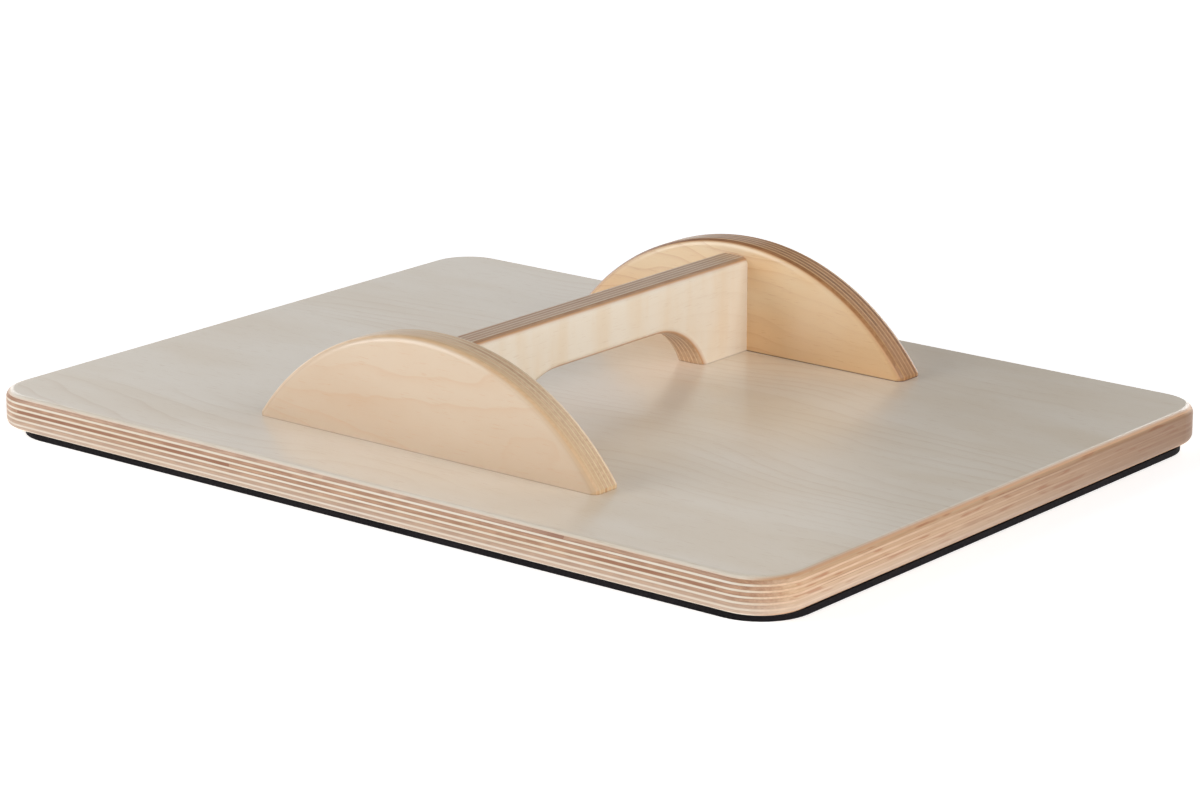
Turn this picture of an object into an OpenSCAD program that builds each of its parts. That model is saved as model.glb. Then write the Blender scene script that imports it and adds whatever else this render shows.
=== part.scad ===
// Rocker-board seesaw in birch plywood. It stands as it is stored: the rubber mat, which is the
// standing surface in use, lies on the floor, and the two curved rockers and the grip bar point up.
// Turned over, it rocks about Y on the crowns of the rockers. Millimetres, +Z up, X along the deck.
// The origin is under the deck's middle, on the mat's free face.

/* [Deck] */
// Length of the deck, along X
deck_length = 480; // [360:5:700]
// Width of the deck, along Y
deck_width = 360; // [280:5:560]
// Thickness of the deck's plywood
deck_thickness = 18; // [15:0.5:24]
// Radius of the deck's four corners, seen from above
deck_corner_radius = 24; // [14:1:60]
// Round-over along the deck's top and bottom edges
deck_edge_radius = 4; // [1:0.5:6]

/* [Mat] */
// Thickness of the anti-slip rubber mat
mat_thickness = 3; // [2:0.5:6]
// Distance from the deck's edge in to the mat's edge, were the mat in the middle
mat_inset = 5; // [4:0.5:12]
// Radius of the mat's four corners
mat_corner_radius = 26; // [12:1:60]
// How far off the middle the mat is glued, along X
mat_shift_x = 3.5; // [-3.5:0.5:3.5]
// How far off the middle the mat is glued, along Y
mat_shift_y = -2; // [-3.5:0.5:3.5]

/* [Rockers] */
// Length of a rocker along the deck, from end face to end face
rocker_length = 208; // [170:1:300]
// Height of a rocker's crown above the deck
rocker_height = 55.5; // [46:0.5:75]
// Height of the short upright face at each end of a rocker
rocker_end_height = 2; // [1:0.5:8]
// Thickness of a rocker's plywood
rocker_thickness = 18; // [15:0.5:24]
// Distance between the outer faces of the two rockers
rocker_span = 258; // [215:1:275]
// Round-over along a rocker's curved edge and its ends
rocker_edge_radius = 4; // [1:0.5:5]

/* [Grip bar] */
// Height of the grip bar's top above the deck
bar_height = 49; // [40:0.5:60]
// Thickness of the grip bar's plywood
bar_thickness = 18; // [15:0.5:24]
// Length of each leg where it stands on the deck
leg_length = 36; // [30:0.5:50]
// Clear height of the finger opening under the bar
finger_height = 23; // [18:0.5:32]
// Radius of the two corner arcs of the finger opening, whose centres lie below the deck's face
finger_corner_radius = 41; // [32:1:45]
// Round-over along the bar's top edges and around the finger opening
bar_edge_radius = 4; // [1:0.5:5]

/* [Fasteners] */
// Length of the countersunk wood screws
screw_length = 45; // [35:1:50]
// Outside diameter of the screw's thread
screw_diameter = 4.5; // [3.5:0.5:5]
// Diameter of the screw's countersunk head
screw_head_diameter = 8.8; // [7:0.1:10]
// Depth of the screw heads below the deck's face
screw_sink = 0.5; // [0.2:0.1:1]
// Number of screws in each rocker
rocker_screw_count = 4; // [2:2:4]
// Least height of wood left over a screw's tip
screw_cover = 8; // [4:0.5:10]
// Diameter of the dowels between the grip bar and the rockers
dowel_diameter = 8; // [6:0.5:10]
// Length of the dowels
dowel_length = 30; // [24:1:32]
// Depth of a dowel in its rocker
dowel_rocker_depth = 12; // [8:0.5:12]
// Distance from the bar's top, and from the deck, to the axis of the nearer dowel
dowel_edge = 13; // [9:0.5:16]

/* [Hidden] */
$fn = 96;

overcut = 1;                // how far a cutter runs past the face that it opens
bore_clearance = 0.05;      // radial gap around a screw or a dowel
deck_bore_diameter = screw_diameter + 0.5;
dowel_end_gap = 1;          // empty length at each end of a dowel's hole
dowel_chamfer = 1;
dowel_flute_count = 10;
dowel_flute_radius = 0.5;
screw_core_diameter = 0.68 * screw_diameter;
screw_pitch = 2;
screw_tip_length = 1.5 * screw_diameter;
screw_recess_depth = 0.5 * screw_head_diameter / 2;
screw_recess_radius = 0.2 * screw_head_diameter;
screw_lobe_radius = 0.06 * screw_head_diameter;

deck_bottom = mat_thickness;
deck_top = deck_bottom + deck_thickness;
screw_base = deck_bottom + screw_sink;          // the flat of every screw head
screw_bite = screw_base + screw_length - deck_top;

// The rocker's curve is one circle through the two end faces and the crown.
rocker_rise = rocker_height - rocker_end_height;
rocker_radius = (pow(rocker_length / 2, 2) + pow(rocker_rise, 2)) / (2 * rocker_rise);
rocker_centre_z = rocker_height - rocker_radius;
rocker_mid_y = rocker_span / 2 - rocker_thickness / 2;

// The outer screws stand where the rocker is still high enough to cover their tips.
outer_screw_x = sqrt(pow(rocker_radius, 2) - pow(screw_bite + screw_cover - rocker_centre_z, 2));
rocker_screw_xs = [
    for (i = [0 : rocker_screw_count - 1])
        outer_screw_x * (2 * i / (rocker_screw_count - 1) - 1)
];

bar_length = rocker_span - 2 * rocker_thickness;
finger_length = bar_length - 2 * leg_length;
finger_centre_z = finger_height - finger_corner_radius;
finger_corner_reach = sqrt(pow(finger_corner_radius, 2) - pow(finger_centre_z, 2));
finger_centre_y = finger_length / 2 - finger_corner_reach;
dowel_bar_depth = dowel_length - dowel_rocker_depth;
dowel_zs = [dowel_edge, bar_height - dowel_edge];
// A leg's screw stands midway between the opening and the ends of the dowel holes.
leg_screw_y = (finger_length / 2 + bar_length / 2 - dowel_bar_depth - dowel_end_gap) / 2;

function screw_places(at_y, xs) = [for (x = xs) [x, at_y]];
front_screw_places = screw_places(-rocker_mid_y, rocker_screw_xs);
rear_screw_places = screw_places(rocker_mid_y, rocker_screw_xs);
leg_screw_places = [[0, -leg_screw_y], [0, leg_screw_y]];
all_screw_places = concat(front_screw_places, rear_screw_places, leg_screw_places);

deck_colour = [0.84, 0.80, 0.73];
rocker_colour = [0.87, 0.74, 0.58];
bar_colour = [0.90, 0.80, 0.66];
mat_colour = [0.08, 0.08, 0.09];
steel_colour = [0.72, 0.70, 0.62];
dowel_colour = [0.80, 0.64, 0.46];

// A rectangle from the origin into +x and +y with its corners rounded.
module rounded_rect(size, r) {
    translate([r, 0]) square([size.x - 2 * r, size.y]);
    translate([0, r]) square([size.x, size.y - 2 * r]);
    for (x = [r, size.x - r], y = [r, size.y - r])
        translate([x, y]) circle(r);
}

// Half of a plate's section: x runs out from the middle to the edge, y is the thickness,
// and both edges at the far side are rounded.
module edge_section(reach, thickness, r) {
    square([reach - r, thickness]);
    translate([0, r]) square([reach, thickness - 2 * r]);
    for (y = [r, thickness - r])
        translate([reach - r, y]) circle(r);
}

// A flat plate with round corners, seen from above, and rounded edges all round.
module rounded_plate(length, width, thickness, corner, r) {
    inner = [length - 2 * corner, width - 2 * corner];
    translate([-inner.x / 2, -inner.y / 2, 0])
        cube([inner.x, inner.y, thickness]);
    for (turn = [0 : 3]) {
        long = turn % 2 == 0 ? inner.y : inner.x;
        out = turn % 2 == 0 ? inner.x : inner.y;
        rotate([0, 0, 90 * turn])
            translate([out / 2, 0, 0]) {
                translate([0, long / 2, 0])
                    rotate([90, 0, 0])
                        linear_extrude(long)
                            edge_section(corner, thickness, r);
                translate([0, long / 2, 0])
                    rotate_extrude(angle = 90)
                        edge_section(corner, thickness, r);
            }
    }
}

// Everything that a screw needs in the wood it passes through: a countersink and a bore in the
// deck, and the thread's own cut above the deck.
module screw_bores(places) {
    head_r = screw_head_diameter / 2;
    bore_r = deck_bore_diameter / 2;
    cut_r = screw_diameter / 2 + bore_clearance;
    for (p = places)
        translate([p.x, p.y, 0]) {
            translate([0, 0, deck_bottom - overcut])
                cylinder(h = overcut + screw_sink, r = head_r + bore_clearance);
            translate([0, 0, screw_base])
                cylinder(h = head_r - bore_r, r1 = head_r + bore_clearance, r2 = bore_r + bore_clearance);
            translate([0, 0, screw_base])
                cylinder(h = deck_thickness + overcut, r = bore_r);
            translate([0, 0, deck_top - overcut])
                cylinder(h = screw_bite + overcut + bore_clearance, r = cut_r);
        }
}

// Holes for the dowels that join one end of the grip bar to a rocker. side is -1 or 1.
module dowel_bores(side) {
    joint_y = side * bar_length / 2;
    hole_r = dowel_diameter / 2 + bore_clearance;
    for (z = dowel_zs)
        translate([0, joint_y - side * (dowel_bar_depth + dowel_end_gap), deck_top + z])
            rotate([-90 * side, 0, 0])
                cylinder(h = dowel_length + 2 * dowel_end_gap, r = hole_r);
}

module deck() {
    color(deck_colour)
        difference() {
            translate([0, 0, deck_bottom])
                rounded_plate(deck_length, deck_width, deck_thickness, deck_corner_radius, deck_edge_radius);
            screw_bores(all_screw_places);
        }
}

module anti_slip_mat() {
    size = [deck_length - 2 * mat_inset, deck_width - 2 * mat_inset];
    color(mat_colour)
        linear_extrude(mat_thickness)
            translate([mat_shift_x, mat_shift_y] - size / 2)
                rounded_rect(size, mat_corner_radius);
}

// The rocker is a disc with rounded edges, cut off at the deck and at its two ends.
module rocker(side) {
    places = side < 0 ? front_screw_places : rear_screw_places;
    color(rocker_colour)
        difference() {
            translate([0, side * rocker_mid_y, deck_top])
                intersection() {
                    translate([0, 0, rocker_centre_z])
                        rotate([90, 0, 0])
                            translate([0, 0, -rocker_thickness / 2])
                                rotate_extrude()
                                    edge_section(rocker_radius, rocker_thickness, rocker_edge_radius);
                    linear_extrude(rocker_height + overcut)
                        translate([-rocker_length / 2, -rocker_thickness / 2])
                            rounded_rect([rocker_length, rocker_thickness], rocker_edge_radius);
                }
            screw_bores(places);
            dowel_bores(side);
        }
}

module front_rocker() {
    rocker(-1);
}

module rear_rocker() {
    rocker(1);
}

// The bar's section across its length, with rounded top edges.
module bar_section() {
    r = bar_edge_radius;
    half = bar_thickness / 2;
    translate([-half, 0]) square([bar_thickness, bar_height - r]);
    translate([r - half, 0]) square([bar_thickness - 2 * r, bar_height]);
    for (x = [r - half, half - r])
        translate([x, bar_height - r]) circle(r);
}

// The finger opening as seen from the side: x along the bar, y up from the deck. The two corner
// discs reach below the deck's face, where the bar has no wood.
module finger_outline() {
    translate([-finger_centre_y, -overcut])
        square([2 * finger_centre_y, finger_height + overcut]);
    for (x = [-finger_centre_y, finger_centre_y])
        translate([x, finger_centre_z]) circle(finger_corner_radius);
}

// What a round-over takes off an edge whose faces lie along x = 0 and y = 0.
module round_over_section(r) {
    difference() {
        translate([-overcut, -overcut]) square(r + overcut);
        translate([r, r]) circle(r);
    }
}

// The round-over around the finger opening on the bar's face at x = 0, cutting into +x.
module finger_round_over() {
    r = bar_edge_radius;
    translate([0, -finger_centre_y, finger_height])
        rotate([-90, -90, 0])
            linear_extrude(2 * finger_centre_y)
                round_over_section(r);
    for (side = [0, 1])
        mirror([0, side, 0])
            translate([0, finger_centre_y, finger_centre_z])
                rotate([90, 0, 90])
                    rotate_extrude(angle = 90)
                        translate([finger_corner_radius, 0]) round_over_section(r);
}

module grip_bar() {
    color(bar_colour)
        difference() {
            translate([0, 0, deck_top])
                difference() {
                    translate([0, bar_length / 2, 0])
                        rotate([90, 0, 0])
                            linear_extrude(bar_length)
                                bar_section();
                    translate([-bar_thickness / 2 - overcut, 0, 0])
                        rotate([90, 0, 90])
                            linear_extrude(bar_thickness + 2 * overcut)
                                finger_outline();
                    for (side = [0, 1])
                        mirror([side, 0, 0])
                            translate([-bar_thickness / 2, 0, 0])
                                finger_round_over();
                }
            screw_bores(leg_screw_places);
            for (side = [-1, 1]) dowel_bores(side);
        }
}

// A countersunk wood screw, point up, with its head's flat at z = 0.
module wood_screw() {
    head_r = screw_head_diameter / 2;
    core_r = screw_core_diameter / 2;
    thread_r = screw_diameter / 2;
    thread_start = head_r - core_r + screw_pitch;
    turns = floor((screw_length - screw_tip_length - thread_start) / screw_pitch);
    difference() {
        rotate_extrude()
            polygon(concat(
                [[0, 0], [head_r, 0], [core_r, head_r - core_r]],
                [for (t = [0 : turns - 1], half = [0, 1])
                    [half == 0 ? core_r : thread_r, thread_start + (t + half / 2) * screw_pitch]],
                [[core_r, thread_start + turns * screw_pitch], [0, screw_length]]
            ));
        translate([0, 0, -overcut])
            linear_extrude(screw_recess_depth + overcut) {
                circle(screw_recess_radius);
                for (lobe = [0 : 5])
                    rotate(60 * lobe)
                        translate([screw_recess_radius, 0]) circle(screw_lobe_radius);
            }
    }
}

module screws(places) {
    color(steel_colour)
        for (p = places)
            translate([p.x, p.y, screw_base]) wood_screw();
}

module front_rocker_screws() {
    screws(front_screw_places);
}

module rear_rocker_screws() {
    screws(rear_screw_places);
}

module grip_bar_screws() {
    screws(leg_screw_places);
}

// A fluted dowel along +z with chamfered ends.
module fluted_dowel() {
    r = dowel_diameter / 2;
    difference() {
        union() {
            cylinder(h = dowel_chamfer, r1 = r - dowel_chamfer, r2 = r);
            translate([0, 0, dowel_chamfer])
                cylinder(h = dowel_length - 2 * dowel_chamfer, r = r);
            translate([0, 0, dowel_length - dowel_chamfer])
                cylinder(h = dowel_chamfer, r1 = r, r2 = r - dowel_chamfer);
        }
        for (flute = [0 : dowel_flute_count - 1])
            rotate(360 / dowel_flute_count * flute)
                translate([r, 0, -overcut])
                    cylinder(h = dowel_length + 2 * overcut, r = dowel_flute_radius);
    }
}

module grip_dowels(side) {
    color(dowel_colour)
        for (z = dowel_zs)
            translate([0, side * (bar_length / 2 - dowel_bar_depth), deck_top + z])
                rotate([-90 * side, 0, 0])
                    fluted_dowel();
}

module front_grip_dowels() {
    grip_dowels(-1);
}

module rear_grip_dowels() {
    grip_dowels(1);
}

deck();
anti_slip_mat();
front_rocker();
rear_rocker();
grip_bar();
front_rocker_screws();
rear_rocker_screws();
grip_bar_screws();
front_grip_dowels();
rear_grip_dowels();
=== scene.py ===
"""Looks of the rocker-board seesaw: clear-varnished birch plywood on a black rubber mat, in a pale studio.

The CAD nodes stay as they are and get procedural materials. Each board is a stack of plies that cross at
right angles, so its material works out from the place and the direction of the surface which ply is cut
there, and whether that ply shows its long grain or its end grain.
"""

import math

import bpy
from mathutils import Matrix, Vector


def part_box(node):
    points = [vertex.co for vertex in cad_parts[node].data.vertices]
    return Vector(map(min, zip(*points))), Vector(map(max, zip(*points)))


MM = 0.001
X, Y, Z = 0, 1, 2
PLIES = 13
SWAY = 0.12  # how far the plies sway from straight, as a share of one ply
RING_FADE = 0.13  # half the width of the step between veneer with rings and without
PIECES_PER_METRE = 7.0  # pieces of veneer laid edge to edge in a core ply
FLOOR_GLOW = 0.52  # keeps the floor white to its far end
WORLD_LIGHT = 0.15

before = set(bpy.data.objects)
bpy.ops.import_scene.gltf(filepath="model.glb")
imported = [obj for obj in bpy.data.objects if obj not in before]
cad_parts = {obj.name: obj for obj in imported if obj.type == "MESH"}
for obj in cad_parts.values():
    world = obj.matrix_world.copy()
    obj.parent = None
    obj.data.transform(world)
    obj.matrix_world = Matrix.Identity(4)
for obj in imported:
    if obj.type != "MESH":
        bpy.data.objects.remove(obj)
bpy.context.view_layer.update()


# ---------------------------------------------------------------- node graphs
class Graph:
    """One material's node tree. Each method adds a node and returns its output."""

    def __init__(self, name):
        self.material = bpy.data.materials.new(name)
        self.material.use_nodes = True
        self.tree = self.material.node_tree
        self.shader = self.tree.nodes["Principled BSDF"]
        coordinates = self.tree.nodes.new("ShaderNodeTexCoord")
        self.place = coordinates.outputs["Object"]
        self.normal = coordinates.outputs["Normal"]

    def add(self, kind, values=(), **settings):
        node = self.tree.nodes.new(kind)
        for key, value in settings.items():
            setattr(node, key, value)
        for socket, value in values:
            self.feed(node.inputs[socket], value)
        return node

    def feed(self, socket, value):
        if isinstance(value, bpy.types.NodeSocket):
            self.tree.links.new(value, socket)
        else:
            socket.default_value = value

    def math(self, operation, *values, clamp=False):
        node = self.add("ShaderNodeMath", enumerate(values), operation=operation, use_clamp=clamp)
        return node.outputs[0]

    def split(self, vector):
        return self.add("ShaderNodeSeparateXYZ", [(0, vector)]).outputs

    def join(self, x, y, z):
        return self.add("ShaderNodeCombineXYZ", [(0, x), (1, y), (2, z)]).outputs[0]

    def noise(self, vector, scale=1.0, detail=2.0, roughness=0.5, distortion=0.0):
        """Noise from 0 to 1 with its middle near 0.5."""
        values = [("Vector", vector), ("Scale", scale), ("Detail", detail)]
        values += [("Roughness", roughness), ("Distortion", distortion)]
        return self.add("ShaderNodeTexNoise", values).outputs["Fac"]

    def random(self, number):
        """A value from 0 to 1 that is the same for the same number."""
        node = self.add("ShaderNodeTexWhiteNoise", [("W", number)], noise_dimensions="1D")
        return node.outputs["Value"]

    def ramp(self, value, low, high, to_low=0.0, to_high=1.0):
        """value from low to high becomes to_low to to_high, smoothly and no further."""
        values = enumerate((value, low, high, to_low, to_high))
        return self.add("ShaderNodeMapRange", values, interpolation_type="SMOOTHSTEP").outputs[0]

    def mix(self, share, a, b):
        """Colour a, changing to colour b as share goes from 0 to 1."""
        node = self.add("ShaderNodeMix", data_type="RGBA")
        self.feed(node.inputs["Factor"], share)
        self.feed(node.inputs[6], a)
        self.feed(node.inputs[7], b)
        return node.outputs[2]

    def bump(self, height, depth):
        values = [("Height", height), ("Distance", depth)]
        return self.add("ShaderNodeBump", values).outputs["Normal"]

    def finish(self, color, bump=None, **constants):
        self.feed(self.shader.inputs["Base Color"], color)
        if bump is not None:
            self.feed(self.shader.inputs["Normal"], bump)
        for name, value in constants.items():
            self.feed(self.shader.inputs[name.replace("_", " ")], value)
        return self.material


def rgb(red, green, blue):
    """A linear colour from its 0 to 255 screen values."""
    linear = [
        c / 12.92 if c <= 0.04045 else ((c + 0.055) / 1.055) ** 2.4
        for c in (red / 255, green / 255, blue / 255)
    ]
    return (*linear, 1.0)


# ---------------------------------------------------------------- plywood
def stretched(g, place, grain, along, across, seed):
    """place with its axes scaled per metre: along on the grain's axis and across on the others."""
    scales = [along if axis == grain else across for axis in (X, Y, Z)]
    scaled = [g.math("MULTIPLY_ADD", p, s, seed) for p, s in zip(place, scales)]
    return g.join(*scaled)


def face_veneer(g, place, grain, look):
    """Colour of the rotary-cut face veneer, with faint rings, soft clouds and fine pores, and the pores
    alone."""
    seed = look["seed"]
    across = [a for a in (X, Y, Z) if a not in (grain, look["stack"])][0]
    broad = g.noise(stretched(g, place, grain, *look["swirl_size"], seed), detail=1.0)
    ripple = g.noise(stretched(g, place, grain, *look["ripple_size"], seed + 3), detail=1.0)
    height = g.math("MULTIPLY_ADD", broad, look["swirl"], place[across])
    height = g.math("MULTIPLY_ADD", ripple, look["ripple"], height)
    ring = g.math("FRACT", g.math("DIVIDE", height, look["ring"]))
    line = g.math("MULTIPLY", g.math("POWER", ring, 5.0), g.ramp(ring, 1.0, 0.93))
    patches = g.noise(stretched(g, place, grain, 6.0, 14.0, seed + 7))
    strength = g.ramp(patches, look["ring_mask"] - RING_FADE, look["ring_mask"] + RING_FADE)
    rings = g.math("MULTIPLY", g.math("MULTIPLY", line, strength), look["ring_share"])
    clouds = g.noise(stretched(g, place, grain, *look["cloud_size"], seed + 11), detail=3.0)
    pores = g.noise(stretched(g, place, grain, 120.0, 1700.0, seed + 17), detail=2.0)
    pores = g.ramp(pores, 0.60, 0.74)
    tone = g.mix(g.ramp(clouds, 0.34, 0.74), look["light"], look["dark"])
    # Painted shade: the veneer darkens toward its lower edge, where the board stands on the deck.
    low = g.ramp(place[across], 75 * MM, 22 * MM, 0.0, look["painted_low_shade"])
    tone = g.mix(low, tone, look["dark"])
    tone = g.mix(rings, tone, look["ring_colour"])
    tone = g.mix(g.math("MULTIPLY", pores, look["pore_share"]), tone, look["ring_colour"])
    return tone, pores


def cut_plies(g, place, normal, level, grains, look):
    """Colour of the plies cut through along the board's edge, at level plies from its first face. The plies
    whose grain is grains[0] alternate with the core plies, whose grain is grains[1]."""
    seed = look["seed"]
    swing = g.math("PINGPONG", g.math("SUBTRACT", level, 0.5), 1.0)
    ply = g.math("ROUND", g.math("SUBTRACT", level, 0.5))
    own = g.random(g.math("ADD", ply, seed))
    shift = g.math("MULTIPLY_ADD", own, 7.0, seed)
    colours = []
    for kind, grain, other in (("face", *grains), ("core", *reversed(grains))):
        facing = g.math("ABSOLUTE", normal[grain])
        fibre = g.noise(stretched(g, place, grain, 18.0, 700.0, shift), detail=3.0)
        fleck = g.noise(stretched(g, place, grain, 60.0, 480.0, shift), detail=1.0)
        speck = g.noise(stretched(g, place, other, 70.0, 700.0, shift), detail=3.0, roughness=0.65)
        long_grain = g.mix(g.ramp(fibre, 0.25, 0.75), look[kind + "_long_light"], look[kind + "_long_dark"])
        flecks = g.math("MULTIPLY", g.ramp(fleck, 0.54, 0.68), look[kind + "_fleck_share"])
        long_grain = g.mix(flecks, long_grain, look["fleck"])
        end_grain = g.mix(g.ramp(speck, 0.30, 0.72), look[kind + "_end_light"], look[kind + "_end_dark"])
        colours.append(g.mix(g.ramp(facing, 0.20, 0.90), long_grain, end_grain))
    crossed = g.ramp(swing, look["core_start"] - 0.05, look["core_start"] + 0.05)
    colour = g.mix(crossed, *colours)
    dark_ply = g.math("MULTIPLY", g.ramp(own, 0.45, 0.9, 0.0, look["ply_share"]), crossed)
    colour = g.mix(dark_ply, colour, look["heart"])
    # Core plies are laid in pieces, so a darker stretch can end all at once.
    along = g.math("MULTIPLY", place[grains[0]], PIECES_PER_METRE)
    piece = g.math("FLOOR", g.math("MULTIPLY_ADD", own, 10.0, along))
    chosen = g.math("GREATER_THAN", g.random(g.math("MULTIPLY_ADD", own, 50.0, piece)), 0.45)
    stretch = stretched(g, place, look["stack"], 0.0, 9.0, g.math("MULTIPLY", own, 40.0))
    heart = g.ramp(g.noise(stretch, detail=2.0), 0.50, 0.62)
    heart = g.math("MULTIPLY", g.math("MULTIPLY", heart, chosen), crossed)
    colour = g.mix(g.math("MULTIPLY", heart, look["heart_share"]), colour, look["heart"])
    glue_and_shadow_line = g.math("ABSOLUTE", g.math("SUBTRACT", swing, look["core_start"]))
    colour = g.mix(g.ramp(glue_and_shadow_line, 0.10, 0.02, 0.0, look["glue_share"]), colour, look["glue_and_shadow_line"])
    # The plies take more of this colour toward the board's first face; on the deck it is a painted
    # reflection of the pale floor.
    colour = g.mix(g.ramp(level, 7.5, 1.0, 0.0, look["tint_and_reflection_share"]), colour, look["tint_and_reflection"])
    # Painted shade: an edge that crosses the face veneer's grain is darkened from its low end to its high
    # end.
    crosswise = g.ramp(g.math("ABSOLUTE", normal[grains[0]]), 0.6, 1.0)
    painted_edge_shade = g.math("MULTIPLY", g.ramp(place[grains[1]], -200 * MM, 200 * MM), crosswise)
    return g.mix(g.math("MULTIPLY", painted_edge_shade, look["painted_edge_shade_share"]), colour, look["painted_edge_shade"])


def birch(name, node, stack, grain, **changes):
    """Varnished birch plywood for a CAD node. stack is the axis that its plies lie across, and grain the
    axis of the face veneer's grain; the plies between turn by a right angle each."""
    look = dict(BIRCH, stack=stack, **changes)
    low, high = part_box(node)
    cross = [a for a in (X, Y, Z) if a not in (stack, grain)][0]
    g = Graph(name)
    place, normal = g.split(g.place), g.split(g.normal)
    sway = g.noise(stretched(g, place, stack, 0.0, 14.0, look["seed"] + 31), detail=1.0)
    ply_thickness = (high[stack] - low[stack]) / PLIES
    level = g.math("DIVIDE", g.math("SUBTRACT", place[stack], low[stack]), ply_thickness)
    swayed = g.math("ADD", level, g.math("MULTIPLY_ADD", sway, 2 * SWAY, -SWAY))
    depth = g.math("MINIMUM", swayed, g.math("SUBTRACT", PLIES, swayed))
    veneer, pores = face_veneer(g, place, grain, look)
    # Along a rounded edge the face veneer is sanded thin, and where it turns across the grain its pores
    # soak up varnish. Both give it a warmer colour.
    thin = g.ramp(depth, look["thin_from"], 0.95, 0.0, look["arris_share"])
    turned = g.ramp(g.math("ABSOLUTE", normal[grain]), 0.10, 0.60, 0.0, look["turned_share"])
    veneer = g.mix(g.math("MAXIMUM", thin, turned), veneer, look["arris"])
    edge = cut_plies(g, place, normal, swayed, (grain, cross), look)
    colour = g.mix(g.ramp(depth, 0.97, 1.03), veneer, edge)
    # Painted shadow: a thin dark line along the board's foot, where it stands on the deck.
    if "seam_shadow" in look:
        height = g.math("SUBTRACT", place[Z], look["seam_shadow"])
        seam_shadow = g.ramp(height, 0.7 * MM, 0.1 * MM, 0.0, look["seam_shadow_share"])
        colour = g.mix(seam_shadow, colour, look["glue_and_shadow_line"])
    grain_height = g.noise(stretched(g, place, grain, 60.0, 1500.0, look["seed"] + 41), detail=2.0)
    worn = g.noise(g.place, scale=9.0, detail=3.0)
    return g.finish(
        colour,
        bump=g.bump(g.math("SUBTRACT", grain_height, pores), 0.03 * MM),
        Roughness=g.ramp(worn, 0.3, 0.7, 0.42, 0.52),
        Coat_Weight=g.ramp(depth, 0.2, 1.0, 1.0, look["edge_coat"]),
        Coat_Roughness=g.ramp(depth, 0.05, 0.6, look["varnish"], look["edge_varnish"]),
        Coat_IOR=look["varnish_ior"],
    )


# What the boards share unless BOARDS gives a board its own value.
BIRCH = {
    "ring_colour": rgb(208, 174, 138),
    "ring": 0.009,
    "ring_mask": 0.53,
    "swirl": 0.085,
    "swirl_size": (5.0, 13.0),
    "ripple": 0.0040,
    "ripple_size": (34.0, 60.0),
    "cloud_size": (9.0, 26.0),
    "painted_low_shade": 0.0,
    "pore_share": 0.20,
    "arris_share": 0.5,
    "thin_from": 0.45,
    "turned_share": 0.6,
    "core_start": 0.38,
    "face_fleck_share": 0.0,
    "core_fleck_share": 0.5,
    "core_end_light": rgb(199, 157, 121),
    "core_end_dark": rgb(174, 128, 93),
    "fleck": rgb(192, 120, 70),
    "ply_share": 0.0,
    "painted_edge_shade": rgb(124, 92, 66),
    "painted_edge_shade_share": 0.0,
    "heart": rgb(172, 112, 68),
    "heart_share": 0.5,
    "glue_and_shadow_line": rgb(96, 60, 42),
    "glue_share": 0.25,
    "tint_and_reflection": rgb(226, 204, 184),
    "tint_and_reflection_share": 0.0,
    "varnish": 0.24,
    "edge_varnish": 0.32,
    "edge_coat": 0.55,
    "varnish_ior": 1.5,
}


# ---------------------------------------------------------------- rubber, steel and beech
def rubber(name):
    """Matt black anti-slip rubber with a fine crumb."""
    g = Graph(name)
    crumb = g.noise(g.place, scale=900.0, detail=3.0)
    cloud = g.noise(g.place, scale=30.0, detail=2.0)
    tone = g.mix(g.ramp(cloud, 0.3, 0.7), rgb(18, 15, 18), rgb(26, 22, 25))
    bump = g.bump(crumb, 0.12 * MM)
    return g.finish(tone, bump, Roughness=g.ramp(crumb, 0.3, 0.7, 0.70, 0.88), Specular_IOR_Level=0.15)


def zinc(name):
    """Yellow-passivated steel of the wood screws."""
    g = Graph(name)
    cloud = g.noise(g.place, scale=240.0, detail=3.0)
    tone = g.mix(g.ramp(cloud, 0.3, 0.7), rgb(214, 196, 142), rgb(190, 180, 150))
    return g.finish(tone, Metallic=1.0, Roughness=g.ramp(cloud, 0.3, 0.7, 0.28, 0.42))


def beech(name):
    """Plain sanded beech of the dowels, whose grain runs along Y."""
    g = Graph(name)
    place = g.split(g.place)
    fibre = g.noise(stretched(g, place, Y, 60.0, 1200.0, 5.0), detail=3.0)
    tone = g.mix(g.ramp(fibre, 0.3, 0.7), rgb(214, 176, 134), rgb(188, 146, 104))
    return g.finish(tone, bump=g.bump(fibre, 0.05 * MM), Roughness=0.65)


def dress(node, material):
    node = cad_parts[node]
    node.data.materials.clear()
    node.data.materials.append(material)


deck_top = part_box("deck")[1][Z]
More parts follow.
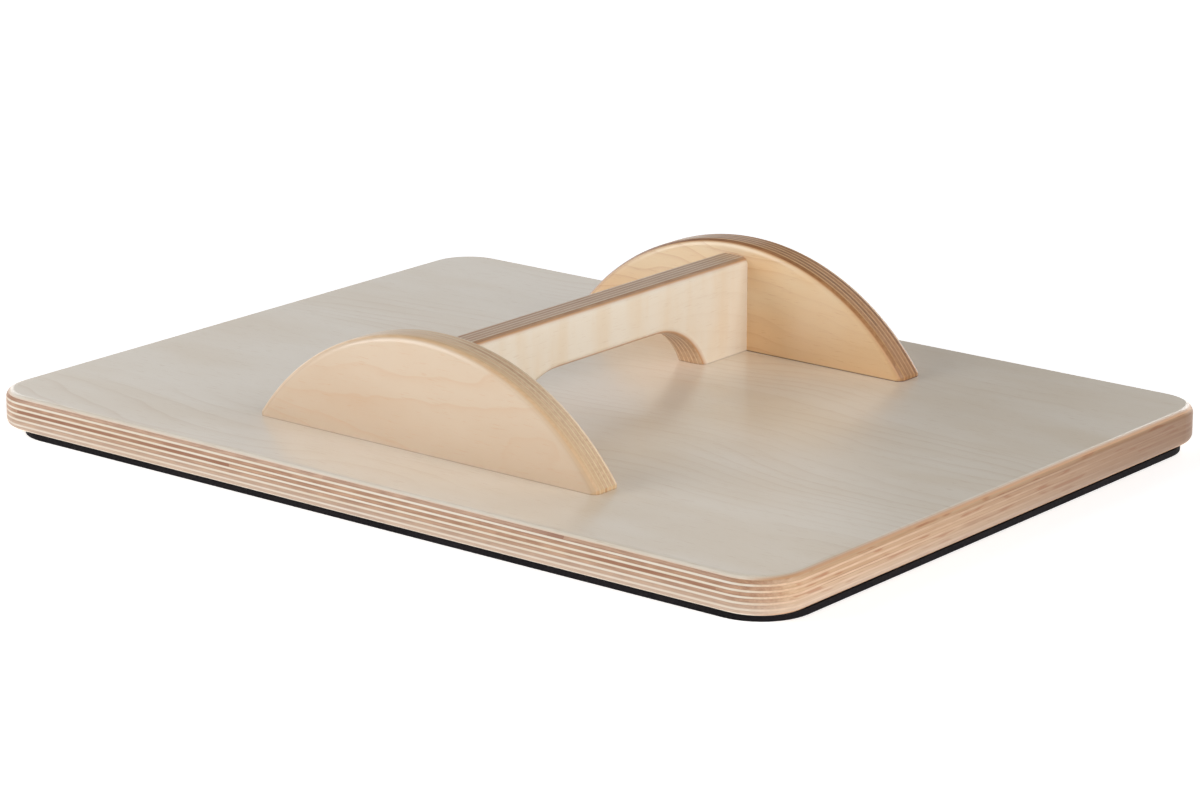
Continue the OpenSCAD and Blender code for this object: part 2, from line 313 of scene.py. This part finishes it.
# What each board has of its own. A board that stands on the deck gets a painted shadow line along its foot.
BOARDS = {
    "deck": dict(
        stack=Z,
        grain=X,
        seed=1.0,
        light=rgb(247, 236, 220),
        dark=rgb(241, 226, 205),
        ring_share=0.34,
        ring_mask=0.56,
        pore_share=0.3,
        arris=rgb(204, 150, 102),
        arris_share=0.3,
        turned_share=0.9,
        face_long_light=rgb(232, 222, 206),
        face_long_dark=rgb(222, 206, 182),
        face_end_light=rgb(226, 190, 156),
        face_end_dark=rgb(208, 170, 134),
        core_long_light=rgb(214, 178, 142),
        core_long_dark=rgb(194, 152, 112),
        core_fleck_share=0.7,
        core_end_light=rgb(192, 150, 118),
        core_end_dark=rgb(158, 114, 82),
        fleck=rgb(172, 104, 56),
        painted_edge_shade=rgb(118, 80, 50),
        painted_edge_shade_share=0.84,
        heart=rgb(140, 82, 44),
        heart_share=0.75,
        tint_and_reflection=rgb(212, 194, 176),
        tint_and_reflection_share=0.5,
        varnish=0.22,
        edge_varnish=0.45,
        edge_coat=0.3,
        varnish_ior=1.65,
    ),
    "front_rocker": dict(
        stack=Y,
        grain=X,
        seed=12.0,
        light=rgb(226, 202, 174),
        dark=rgb(221, 193, 162),
        ring_colour=rgb(218, 168, 120),
        ring_share=0.38,
        ring=0.015,
        swirl_size=(8.0, 19.0),
        ripple=0.011,
        ripple_size=(48.0, 80.0),
        pore_share=0.32,
        arris=rgb(222, 182, 134),
        face_long_light=rgb(240, 220, 190),
        face_long_dark=rgb(226, 198, 160),
        face_end_light=rgb(246, 220, 180),
        face_end_dark=rgb(232, 198, 154),
        core_long_light=rgb(240, 202, 156),
        core_long_dark=rgb(222, 180, 130),
        core_end_light=rgb(238, 206, 170),
        core_end_dark=rgb(214, 176, 138),
        tint_and_reflection=rgb(230, 192, 146),
        tint_and_reflection_share=0.55,
        seam_shadow=deck_top,
        seam_shadow_share=0.35,
    ),
    "rear_rocker": dict(
        stack=Y,
        grain=X,
        seed=26.0,
        light=rgb(249, 226, 190),
        dark=rgb(243, 198, 144),
        ring_colour=rgb(196, 124, 62),
        ring_share=0.32,
        ring=0.0075,
        ring_mask=0.47,
        swirl=0.032,
        swirl_size=(7.0, 16.0),
        ripple=0.012,
        ripple_size=(24.0, 52.0),
        painted_low_shade=0.8,
        arris=rgb(192, 130, 76),
        arris_share=0.8,
        face_long_light=rgb(230, 188, 138),
        face_long_dark=rgb(214, 168, 116),
        face_end_light=rgb(206, 158, 108),
        face_end_dark=rgb(184, 134, 86),
        core_long_light=rgb(190, 140, 90),
        core_long_dark=rgb(166, 116, 70),
        core_end_light=rgb(192, 138, 90),
        core_end_dark=rgb(162, 108, 64),
        ply_share=0.8,
        heart=rgb(112, 70, 40),
        seam_shadow=deck_top,
        seam_shadow_share=0.9,
        edge_varnish=0.2,
    ),
    "grip_bar": dict(
        stack=X,
        grain=Y,
        seed=41.0,
        light=rgb(248, 236, 218),
        dark=rgb(245, 227, 202),
        ring_share=0.10,
        cloud_size=(70.0, 16.0),
        arris=rgb(204, 142, 82),
        arris_share=0.9,
        thin_from=0.12,
        face_long_light=rgb(228, 210, 186),
        face_long_dark=rgb(214, 190, 162),
        face_end_light=rgb(238, 208, 172),
        face_end_dark=rgb(218, 182, 142),
        core_long_light=rgb(236, 204, 166),
        core_long_dark=rgb(214, 176, 136),
        seam_shadow=deck_top,
        seam_shadow_share=0.4,
    ),
}
for board, changes in BOARDS.items():
    dress(board, birch(board + "_birch", board, **changes))
dress("anti_slip_mat", rubber("mat_rubber"))
steel, dowel = zinc("screw_zinc"), beech("dowel_beech")
for group in ("front_rocker_screws", "rear_rocker_screws", "grip_bar_screws"):
    dress(group, steel)
for group in ("front_grip_dowels", "rear_grip_dowels"):
    dress(group, dowel)


# ---------------------------------------------------------------- studio
def floor():
    """A pale floor, much larger than the view."""
    half = 20.0
    corners = [(-half, -half, 0), (half, -half, 0), (half, half, 0), (-half, half, 0)]
    mesh = bpy.data.meshes.new("floor")
    mesh.from_pydata(corners, [], [(0, 1, 2, 3)])
    plane = bpy.data.objects.new("floor", mesh)
    bpy.context.collection.objects.link(plane)
    g = Graph("floor_pale")
    g.shader.inputs["Emission Color"].default_value = (1.0, 1.0, 1.0, 1.0)
    mesh.materials.append(g.finish(rgb(245, 245, 245), Roughness=0.9, Emission_Strength=FLOOR_GLOW))


def softbox(name, azimuth, power, elevation=25, distance=2.4, size=1.5):
    """A square area light that looks at the object. Azimuth 0 lights its -Y side and 90 its +X side."""
    light = bpy.data.lights.new(name, "AREA")
    light.shape, light.size, light.energy = "SQUARE", size, power
    lamp = bpy.data.objects.new(name, light)
    a, e = math.radians(azimuth), math.radians(elevation)
    away = Vector((math.sin(a) * math.cos(e), -math.cos(a) * math.cos(e), math.sin(e)))
    lamp.location = away * distance
    lamp.rotation_euler = away.to_track_quat("Z", "Y").to_euler()
    bpy.context.collection.objects.link(lamp)


def camera(azimuth, elevation, distance, aim_right, aim_up, lens):
    """The view of the object. The aim is the frame's origin, moved right and up in the picture."""
    data = bpy.data.cameras.new("camera")
    data.lens, data.sensor_width, data.clip_end = lens, 36.0, 100.0
    view = bpy.data.objects.new("camera", data)
    a, e = math.radians(azimuth), math.radians(elevation)
    back = Vector((math.sin(a) * math.cos(e), -math.cos(a) * math.cos(e), math.sin(e)))
    right = Vector((math.cos(a), math.sin(a), 0.0))
    up = back.cross(right)
    view.location = back * distance + right * aim_right + up * aim_up
    view.rotation_euler = back.to_track_quat("Z", "Y").to_euler()
    bpy.context.collection.objects.link(view)
    bpy.context.scene.camera = view


floor()
softbox("front_right_box", azimuth=45, power=9.8)
softbox("right_box", azimuth=90, power=24.0)
softbox("front_left_box", azimuth=315, power=27.5)
softbox("back_box", azimuth=180, power=17.2, elevation=12)
softbox("back_left_box", azimuth=230, power=3.3, elevation=12)
softbox("left_box", azimuth=255, power=9.1, elevation=12)
world = bpy.data.worlds.new("studio")
world.use_nodes = True
background = world.node_tree.nodes["Background"].inputs
background["Color"].default_value = (1.0, 1.0, 1.0, 1.0)
background["Strength"].default_value = WORLD_LIGHT
bpy.context.scene.world = world
bpy.context.scene.view_settings.view_transform = "Standard"
camera(azimuth=38.82, elevation=16.10, distance=1.9987, aim_right=0.00214, aim_up=0.01755, lens=122.31)
